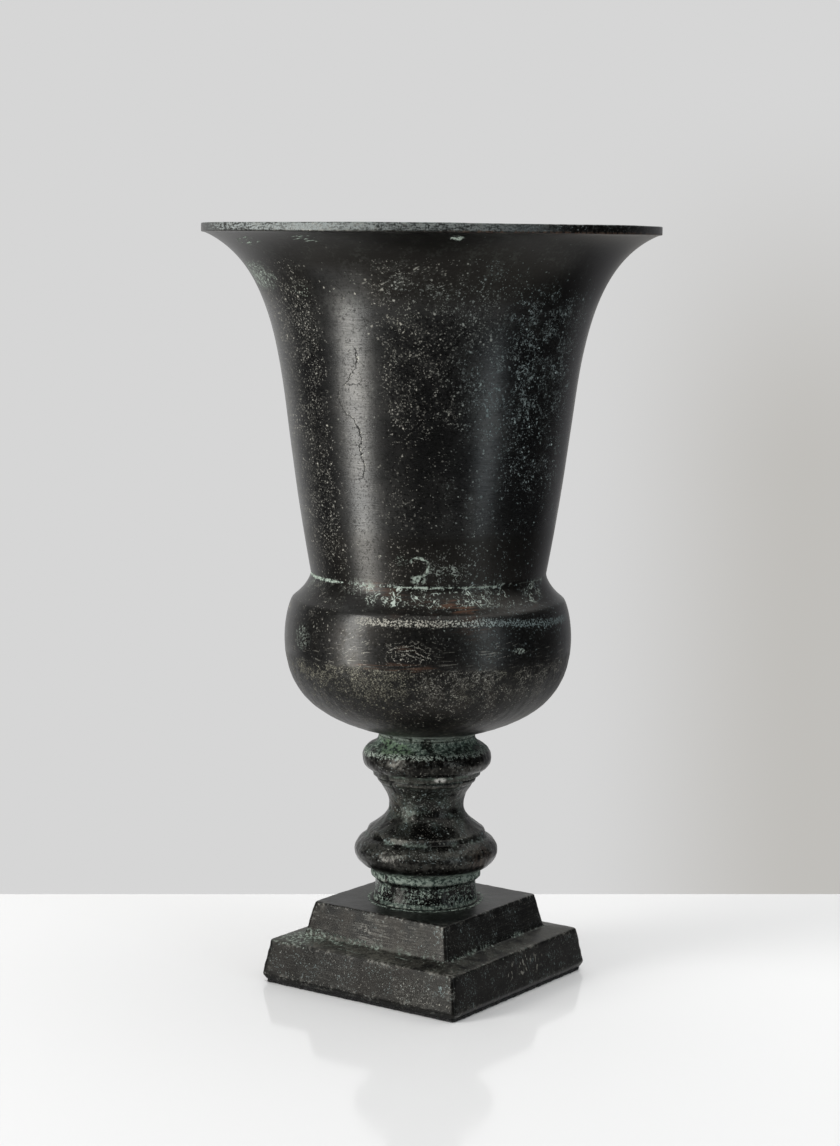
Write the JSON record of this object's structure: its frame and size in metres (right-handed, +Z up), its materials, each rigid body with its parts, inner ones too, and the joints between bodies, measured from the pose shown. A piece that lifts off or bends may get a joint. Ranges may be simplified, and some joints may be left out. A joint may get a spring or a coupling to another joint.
{
  "type": "footed urn",
  "caption": "Cast bronze urn with a flared trumpet bowl and round bulb, on a turned baluster stem and stepped square plinth, held by a bolt down its middle.",
  "frame": {"origin": "on the floor, under the middle of the felt pad, on the axis of the bolt", "axes": "+Z up along the urn's axis; X and Y square to the plinth's sides"},
  "size_m": [0.31, 0.31, 0.52],
  "materials": {
    "bronze": "dark brown-black patinated cast bronze, burnished above, sand-cast and verdigris in the hollows",
    "felt": "black wool felt with a cut, slightly frayed edge",
    "rubber": "black moulded rubber, matt",
    "steel": "zinc-plated steel, dulled"
  },
  "bodies": {
    "root": {"base_pad": "felt", "plinth": "bronze", "stem": "bronze", "bowl": "bronze", "bolt_seal": "rubber", "bolt_washer": "steel", "tie_bolt": "steel", "plinth_washer": "steel", "lock_washer": "steel", "tie_nut": "steel"}
  },
  "joints": []
}
